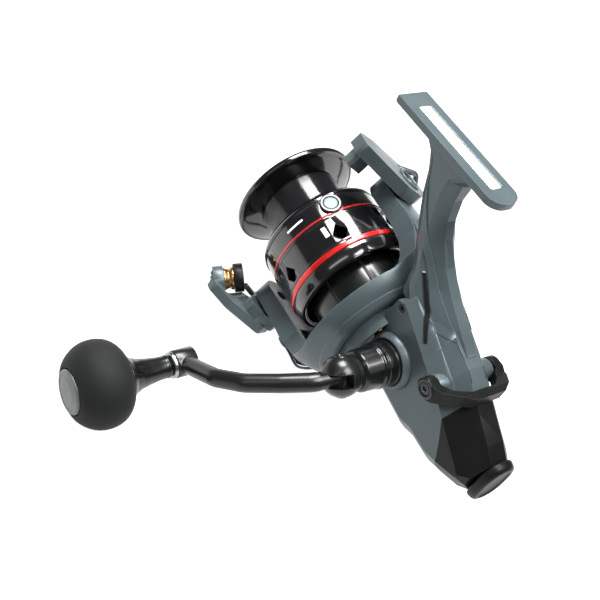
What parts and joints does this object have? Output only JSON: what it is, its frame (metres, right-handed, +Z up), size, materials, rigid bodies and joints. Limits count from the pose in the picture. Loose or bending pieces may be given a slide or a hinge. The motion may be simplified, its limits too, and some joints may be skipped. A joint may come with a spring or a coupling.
{
  "type": "spinning reel",
  "caption": "Baitfeeder spinning reel: a handle drives a rotor with bail and line roller round a skirted spool on a reciprocating shaft; rear bait lever and drag; stem with rod foot.",
  "frame": {"origin": "middle of the rod foot's seat face", "axes": "+Y forward along the main shaft towards the spool, +Z up from the shaft towards the rod, handle on -X"},
  "size_m": [0.1817, 0.1728, 0.1418],
  "materials": {
    "gunmetal_paint": "metallic blue-grey paint, satin",
    "gloss_black_alloy": "gloss black anodised",
    "red_anodised": "red anodised",
    "black_plastic": "satin moulded",
    "gloss_black_plastic": "glossy moulded",
    "black_paint": "satin black enamel",
    "grip_rubber": "fine matt texture",
    "cap_grey": "matt",
    "label_white": "satin",
    "steel": "machined",
    "dark_steel": "black oxide",
    "wire_steel": "polished",
    "brass": "polished",
    "bronze": "sintered",
    "alloy": "machined",
    "carbon_felt": "woven, dry"
  },
  "bodies": {
    "body": {"body_housing": "gunmetal_paint", "side_cover": "gunmetal_paint", "rear_cover": "black_plastic", "foot_label_plate": "label_white", "side_trim": "black_plastic", "body_screws": "dark_steel", "handle_collar": "gunmetal_paint", "far_side_cap": "gunmetal_paint", "pinion_bearing": "steel", "bearing_retainer": "steel", "anti_reverse_clutch": "steel", "clutch_cover": "alloy", "pinion_bush": "bronze", "drive_gear_bearing_left": "steel", "drive_gear_bearing_right": "steel", "shaft_rear_bush": "bronze", "oscillation_guide": "steel", "bait_drag_washers": "carbon_felt", "bait_drag_barrel": "alloy", "bait_lever_screws": "dark_steel"},
    "handle": {"drive_gear": "alloy", "oscillation_pinion": "brass", "handle_shaft": "steel", "handle_sleeve": "gloss_black_plastic", "handle_hub": "black_paint", "fold_pin": "steel"},
    "handle_arm": {"handle_arm": "black_paint", "knob_post": "steel"},
    "knob": {"knob_grip": "grip_rubber", "knob_cap": "cap_grey", "knob_sleeve": "black_plastic"},
    "oscillation_gear": {"oscillation_gear": "alloy"},
    "rotor": {"rotor": "gunmetal_paint", "rotor_nut": "steel", "pinion_gear": "brass", "clutch_sleeve": "steel", "rotor_arm_covers": "gunmetal_paint", "bail_spring": "steel", "bail_pivot_screws": "dark_steel"},
    "bail": {"bail_arm_roller": "gunmetal_paint", "bail_arm_plain": "gunmetal_paint", "bail_wire": "wire_steel", "wire_collar": "black_plastic", "roller_screw": "dark_steel"},
    "line_roller": {"line_roller": "brass", "roller_bush": "bronze"},
    "main_shaft": {"main_shaft": "steel", "crosswind_block": "alloy", "spool_support": "steel"},
    "spool": {"spool": "gloss_black_alloy", "spool_lip": "gloss_black_alloy", "skirt_ring": "red_anodised", "skirt_stripe": "red_anodised", "line_clip": "cap_grey", "click_gear": "black_plastic", "drag_washers": "carbon_felt", "drag_retainer": "steel"},
    "drag_knob": {"drag_knob": "black_plastic"},
    "bait_lever": {"bait_lever": "black_plastic"},
    "bait_drag_knob": {"bait_drag_knob": "black_plastic"}
  },
  "joints": [
    {"name": "handle_spin", "type": "hinge", "parent": "body", "child": "handle", "pos_m": [0, -0.0366, -0.084], "axis": [1, 0, 0], "continuous": true},
    {"name": "rotor_spin", "type": "hinge", "parent": "body", "child": "rotor", "pos_m": [0, -0.0366, -0.0925], "axis": [0, 1, 0], "continuous": true},
    {"name": "oscillation_gear_spin", "type": "hinge", "parent": "body", "child": "oscillation_gear", "pos_m": [0, -0.05205, -0.08815], "axis": [1, 0, 0], "continuous": true},
    {"name": "handle_fold", "type": "hinge", "parent": "handle", "child": "handle_arm", "pos_m": [-0.0406, -0.0366, -0.084], "axis": [0, 0.6293, 0.7771], "range_deg": [-30, 0]},
    {"name": "knob_spin", "type": "hinge", "parent": "handle_arm", "child": "knob", "pos_m": [-0.121, 0.00809, -0.12019], "axis": [1, 0, 0], "continuous": true},
    {"name": "shaft_slide", "type": "slide", "parent": "body", "child": "main_shaft", "axis": [0, 1, 0], "range_m": [-0.016, 0]},
    {"name": "spool_spin", "type": "hinge", "parent": "main_shaft", "child": "spool", "pos_m": [0, 0.0434, -0.0925], "axis": [0, 1, 0], "continuous": true},
    {"name": "drag_knob_turn", "type": "hinge", "parent": "main_shaft", "child": "drag_knob", "pos_m": [0, 0.0674, -0.0925], "axis": [0, 1, 0], "range_deg": [-360, 360]},
    {"name": "bail_open", "type": "hinge", "parent": "rotor", "child": "bail", "pos_m": [0, 0.0294, -0.0925], "axis": [0.515, 0, 0.8572], "range_deg": [0, 80]},
    {"name": "line_roller_spin", "type": "hinge", "parent": "bail", "child": "line_roller", "pos_m": [-0.03603, 0.0463, -0.12276], "axis": [-0.8931, 0.3378, -0.297], "continuous": true},
    {"name": "bait_lever_flip", "type": "hinge", "parent": "body", "child": "bait_lever", "pos_m": [0, -0.0586, -0.071], "axis": [1, 0, 0], "range_deg": [-28, 0]},
    {"name": "bait_drag_knob_turn", "type": "hinge", "parent": "body", "child": "bait_drag_knob", "pos_m": [0, -0.0946, -0.0925], "axis": [0, 1, 0], "range_deg": [-180, 180]}
  ],
  "couplings": [
    {"joint": "rotor_spin", "follows": "handle_spin", "ratio": -4.5},
    {"joint": "oscillation_gear_spin", "follows": "handle_spin", "ratio": -0.53846}
  ]
}
